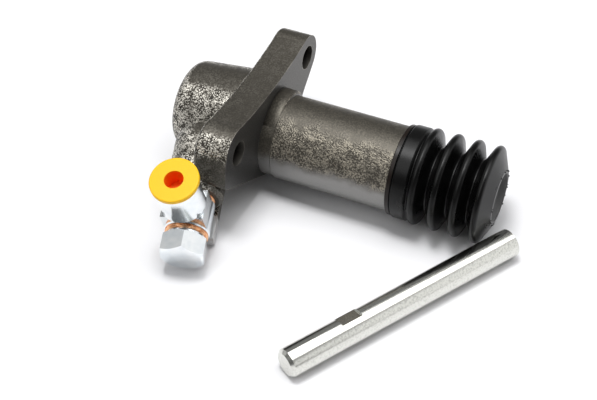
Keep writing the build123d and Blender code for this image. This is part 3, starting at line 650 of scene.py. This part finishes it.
def bright_zinc():
    """Bright zinc plating on steel: a soft mirror with cloudy patches and a cool tint."""
    made, tree = new_material("bright_zinc_plate")
    place = add(tree, "ShaderNodeTexCoord")["Object"]
    cloud = add(tree, "ShaderNodeTexNoise", {"Vector": place, "Scale": 1 / PLATING_CLOUD})[0]
    dull = add(tree, "ShaderNodeMapRange", (cloud, *PLATING_RISE), interpolation_type=EASED)[0]
    base = add(tree, "ShaderNodeMix", {0: dull, 6: ZINC_BRIGHT, 7: ZINC_DULL}, data_type="RGBA")[2]
    gloss = (cloud, *MOST_NOISE, *ZINC_ROUGHNESS)
    rough = add(tree, "ShaderNodeMapRange", gloss, interpolation_type=EASED)[0]
    fine = add(tree, "ShaderNodeTexNoise", {"Vector": place, "Scale": 1 / PLATING_GRAIN})[0]
    relief = {"Strength": PLATING_STRENGTH, "Distance": PLATING_DEPTH, "Height": fine}
    bump = add(tree, "ShaderNodeBump", relief)[0]
    shaded(tree, {"Base Color": base, "Metallic": 1.0, "Roughness": rough, "Normal": bump})
    return made


def screw_thread(made):
    """One turn of the bleed screw's thread, wound round its shank from the boss's face."""
    sizes = {"Radius": THREAD_R, "Pitch": THREAD_PITCH, "Ridge": THREAD_RIDGE, "Turns": THREAD_TURNS}
    tree, size = new_tree("screw_thread", sizes)
    radii = {"Start Radius": size["Radius"], "End Radius": size["Radius"]}
    turn = {"Resolution": THREAD_STEPS, "Rotations": size["Turns"], "Height": size["Pitch"]}
    helix = add(tree, "GeometryNodeCurveSpiral", {**turn, **radii})[0]
    section = {"Resolution": THREAD_SIDES, "Radius": size["Ridge"]}
    ridge = add(tree, "GeometryNodeCurvePrimitiveCircle", section)[0]
    wound = {"Curve": helix, "Profile Curve": ridge, "Fill Caps": True}
    thread = add(tree, "GeometryNodeCurveToMesh", wound)[0]
    outward = Vector(joints["bleed_turn"]["axis"])
    start = Vector(joints["bleed_turn"]["pos_m"]) + outward * THREAD_FROM_BOSS
    turned = outward.to_track_quat("Z", "Y").to_euler()
    stood = {"Geometry": thread, "Translation": start, "Rotation": turned}
    close_tree(tree, add(tree, "GeometryNodeTransform", stood)[0], made)
    return run_tree("bleed_thread", tree, sizes)


zinc = bright_zinc()
for name in ("banjo_bolt", "banjo_union", "bleed_screw"):
    dress(name, zinc)
thread = screw_thread(zinc)
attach(thread, "bleeder")

# The two sealing washers: folded soft copper, annealed, one each side of the union's eye.
# Clean copper is salmon pink, with a thin brown film where it was handled.
COPPER_CLEAN = "#F6BE90"
COPPER_FILM = "#D0824F"
COPPER_ROUGHNESS = (0.22, 0.34)
FILM_PATCH = 2.0 * MM
FILM_RISE = (0.45, 0.75)
FILM_DEPTH = 0.02 * MM
FILM_STRENGTH = 0.15


def annealed_copper():
    """Annealed copper: warm and bright, with a brown oxide film in patches."""
    made, tree = new_material("annealed_copper")
    place = add(tree, "ShaderNodeTexCoord")["Object"]
    oxide = {"Vector": place, "Scale": 1 / FILM_PATCH, "Detail": BLOTCH_DETAIL}
    film = add(tree, "ShaderNodeTexNoise", oxide)[0]
    brown = add(tree, "ShaderNodeMapRange", (film, *FILM_RISE), interpolation_type=EASED)[0]
    base = add(tree, "ShaderNodeMix", {0: brown, 6: COPPER_CLEAN, 7: COPPER_FILM}, data_type="RGBA")[2]
    gloss = (film, *MOST_NOISE, *COPPER_ROUGHNESS)
    rough = add(tree, "ShaderNodeMapRange", gloss, interpolation_type=EASED)[0]
    relief = {"Strength": FILM_STRENGTH, "Distance": FILM_DEPTH, "Height": film}
    bump = add(tree, "ShaderNodeBump", relief)[0]
    shaded(tree, {"Base Color": base, "Metallic": 1.0, "Roughness": rough, "Normal": bump})
    return made


copper = annealed_copper()
for name in ("outer_washer", "inner_washer"):
    dress(name, copper)

# The transit plug: injection-moulded polyethylene pushed into the union's port. Its hollow is
# painted orange: a painted glow for the light that goes round between the walls and through them.
# The mould's texture is finer than 0.2 mm, so it is drawn coarser to show.
PLUG_YELLOW = "#EAB90A"
PLUG_HOLLOW_GLOW = "#FA7A10"
PLUG_ROUGHNESS = (0.38, 0.48)
PLUG_SHINE = 0.3
PLUG_IOR = 1.51
PLUG_GLOW = 0.25
PLUG_GLOW_REACH = (1.5 * MM, 0.8 * MM, 0.2 * MM)
PLUG_HOLLOW_R = 3.35 * MM
PLUG_HOLLOW_DEPTH = 9.0 * MM
PLUG_HOLLOW_TOP = 1.4 * MM
MOULD_TEXTURE = 0.4 * MM
MOULD_RELIEF = 0.03 * MM
MOULD_STRENGTH = 0.1


def moulded_polyethylene():
    """Yellow polyethylene: waxy and slightly see-through, with a soft shine."""
    made, tree = new_material("yellow_polyethylene")
    place = add(tree, "ShaderNodeTexCoord")["Object"]
    ends = (-PLUG_HOLLOW_DEPTH, PLUG_HOLLOW_TOP)
    # The hollow is painted orange: a painted glow, not lit by any lamp.
    glowing_hollow = within_bar(tree, place, port_mouth, port_direction, PLUG_HOLLOW_R, *ends)
    base = add(tree, "ShaderNodeMix", {0: glowing_hollow, 6: PLUG_YELLOW, 7: PLUG_HOLLOW_GLOW}, data_type="RGBA")[2]
    skin = add(tree, "ShaderNodeTexNoise", {"Vector": place, "Scale": 1 / MOULD_TEXTURE})[0]
    gloss = (skin, *MOST_NOISE, *PLUG_ROUGHNESS)
    rough = add(tree, "ShaderNodeMapRange", gloss, interpolation_type=EASED)[0]
    relief = {"Strength": MOULD_STRENGTH, "Distance": MOULD_RELIEF, "Height": skin}
    bump = add(tree, "ShaderNodeBump", relief)[0]
    look = {"Base Color": base, "Roughness": rough, "IOR": PLUG_IOR, "Normal": bump}
    look["Specular IOR Level"] = PLUG_SHINE
    look["Subsurface Weight"] = PLUG_GLOW
    look["Subsurface Radius"] = PLUG_GLOW_REACH
    look["Subsurface Scale"] = 1.0
    shaded(tree, look)
    return made


dress("union_plug", moulded_polyethylene())

# The push rod: drawn steel bar, ground and plated bright, with a domed end, a flat end and
# two flats where it was gripped. Fine lines run along it, drawn coarser than life so that they
# show, and the plate has small specks.
ROD_BRIGHT = "#DEDED8"
ROD_DULL = "#C8C8C2"
ROD_ROUGHNESS = (0.16, 0.22)
ROD_HEADING = math.radians(58.4)
SPECK_SIZE = 0.6 * MM
SPECK_RISE = (0.45, 0.7)
SPECK_ROUGH_RISE = (0.3, 0.75)
LINE_STEP = 0.25 * MM
LINE_STRETCH = 0.03
LINE_DEPTH = 0.015 * MM
LINE_STRENGTH = 0.2


def polished_rod_steel():
    """Ground and plated steel: a clear mirror, broken by fine lines along the bar."""
    made, tree = new_material("polished_rod_steel")
    place = add(tree, "ShaderNodeTexCoord")["Object"]
    along = add(tree, "ShaderNodeMapping", {"Vector": place, "Rotation": (0.0, 0.0, -ROD_HEADING)})[0]
    drawn = add(tree, "ShaderNodeMapping", {"Vector": along, "Scale": (LINE_STRETCH, 1.0, 1.0)})[0]
    scratches = {"Vector": drawn, "Scale": 1 / LINE_STEP, "Detail": BLOTCH_DETAIL}
    lines = add(tree, "ShaderNodeTexNoise", scratches)[0]
    specks = {"Detail": BLOTCH_DETAIL, "Roughness": MOTTLE_ROUGHNESS}
    speck = add(tree, "ShaderNodeTexNoise", {"Vector": place, "Scale": 1 / SPECK_SIZE, **specks})[0]
    dull = add(tree, "ShaderNodeMapRange", (speck, *SPECK_RISE), interpolation_type=EASED)[0]
    base = add(tree, "ShaderNodeMix", {0: dull, 6: ROD_BRIGHT, 7: ROD_DULL}, data_type="RGBA")[2]
    gloss = (speck, *SPECK_ROUGH_RISE, *ROD_ROUGHNESS)
    rough = add(tree, "ShaderNodeMapRange", gloss, interpolation_type=EASED)[0]
    relief = {"Strength": LINE_STRENGTH, "Distance": LINE_DEPTH, "Height": lines}
    bump = add(tree, "ShaderNodeBump", relief)[0]
    shaded(tree, {"Base Color": base, "Metallic": 1.0, "Roughness": rough, "Normal": bump})
    return made


dress("push_rod", polished_rod_steel())

# The table: a sheet of white cast acrylic that the part lies on, flat and faintly hazed. It only
# stages the picture, and is no piece of the part.
TABLE_WIDTH = 4.0
TABLE_WHITE = "#EAEAEC"
TABLE_ROUGHNESS = (0.5, 0.56)
TABLE_IOR = 1.49
TABLE_HAZE = 0.05
floor_z = cad_box[0][2]


def white_acrylic():
    """White acrylic sheet: plain and pale, with a broad faint shine."""
    made, tree = new_material("white_acrylic_sheet")
    place = add(tree, "ShaderNodeTexCoord")["Object"]
    haze = add(tree, "ShaderNodeTexNoise", {"Vector": place, "Scale": 1 / TABLE_HAZE})[0]
    gloss = (haze, *MOST_NOISE, *TABLE_ROUGHNESS)
    rough = add(tree, "ShaderNodeMapRange", gloss, interpolation_type=EASED)[0]
    shaded(tree, {"Base Color": TABLE_WHITE, "Roughness": rough, "IOR": TABLE_IOR})
    return made


def table():
    """A level sheet at the height of the part's lowest point."""
    half = TABLE_WIDTH / 2
    corners = [(x, y, floor_z) for x, y in ((-half, -half), (half, -half), (half, half), (-half, half))]
    sheet = bpy.data.meshes.new("table")
    sheet.from_pydata(corners, [], [(0, 1, 2, 3)])
    return put("table", sheet, white_acrylic())


table()

# The studio: one wide soft light overhead and behind, a smaller one straight above that draws
# the shadow, and a dim room with bright panels that the metal mirrors and the grain catches.
# A panel is bright out to its full angle, in degrees, and fades away by its gone angle.
SOFTBOX = {"place": (0.17, 0.14, 0.75), "width": 0.85, "depth": 0.59, "watts": 4.0}
TOP_LIGHT = {"place": (-0.04, -0.05, 0.75), "width": 0.22, "depth": 0.2, "watts": 3.1}
RIGHT_PANEL = {"azimuth": 111, "elevation": 16, "full": 28, "gone": 38, "glow": 0.85}
LEFT_PANEL = {"azimuth": -95, "elevation": 32, "full": 22, "gone": 36, "glow": 0.45}
BACK_PANEL = {"azimuth": -154, "elevation": 29, "full": 12, "gone": 22, "glow": 0.06}
FRONT_WINDOW = {"azimuth": -34, "elevation": 48, "full": 12, "gone": 24, "glow": 1.9}
ROOM_DIM = 0.15
ROOM_PALE = "#FFFFFF"
CAMERA_PLACE = Vector((0.142624, -0.292158, 0.284073))
CAMERA_RIGHT = Vector((0.9127777, 0.4083281, -0.0102481))
CAMERA_UP = Vector((-0.278076, 0.639598, 0.716651))
FOCAL_PIXELS = 1257.68
PHOTO_WIDTH = 597
FILM_WIDTH = 36.0


def soft_light(name, light):
    """A rectangular soft light that hangs level above the part and faces the table."""
    lamp = bpy.data.lights.new(name, "AREA")
    lamp.shape = "RECTANGLE"
    lamp.size = light["width"]
    lamp.size_y = light["depth"]
    lamp.energy = light["watts"]
    held = bpy.data.objects.new(name, lamp)
    held.location = light["place"]
    bpy.context.scene.collection.objects.link(held)


def room():
    """A dim room with bright panels. Looked at directly, it is as pale as the table."""
    world = bpy.data.worlds.new("room")
    world.use_nodes = True
    tree = world.node_tree
    tree.nodes.clear()
    towards = add(tree, "ShaderNodeTexCoord")["Generated"]
    glow = ROOM_DIM
    for panel in (RIGHT_PANEL, LEFT_PANEL, BACK_PANEL, FRONT_WINDOW):
        azimuth = math.radians(panel["azimuth"])
        elevation = math.radians(panel["elevation"])
        level = math.cos(elevation)
        heading = (math.sin(azimuth) * level, -math.cos(azimuth) * level, math.sin(elevation))
        facing = add(tree, "ShaderNodeVectorMath", (towards, heading), operation="DOT_PRODUCT")["Value"]
        gone, full = (math.cos(math.radians(panel[end])) for end in ("gone", "full"))
        spread = (facing, gone, full, 0.0, panel["glow"])
        lit = add(tree, "ShaderNodeMapRange", spread, interpolation_type=EASED)[0]
        glow = add(tree, "ShaderNodeMath", (glow, lit), operation="ADD")[0]
    seen = add(tree, "ShaderNodeLightPath")["Is Camera Ray"]
    shade = add(tree, "ShaderNodeMix", {0: seen, 6: glow, 7: ROOM_PALE}, data_type="RGBA")[2]
    light = add(tree, "ShaderNodeBackground", {"Color": shade, "Strength": 1.0})[0]
    add(tree, "ShaderNodeOutputWorld", {"Surface": light})
    bpy.context.scene.world = world


def camera():
    """A camera at the place and turn that the photograph was taken from."""
    lens = bpy.data.cameras.new("camera")
    lens.sensor_fit = "HORIZONTAL"
    lens.sensor_width = FILM_WIDTH
    lens.lens = FOCAL_PIXELS / PHOTO_WIDTH * FILM_WIDTH
    held = bpy.data.objects.new("camera", lens)
    back = CAMERA_RIGHT.cross(CAMERA_UP)
    turn = Matrix((CAMERA_RIGHT, CAMERA_UP, back)).transposed()
    held.matrix_world = Matrix.Translation(CAMERA_PLACE) @ turn.to_4x4()
    bpy.context.scene.collection.objects.link(held)
    bpy.context.scene.camera = held


soft_light("softbox", SOFTBOX)
soft_light("top_light", TOP_LIGHT)
room()
camera()
bpy.context.scene.view_settings.view_transform = "Standard"
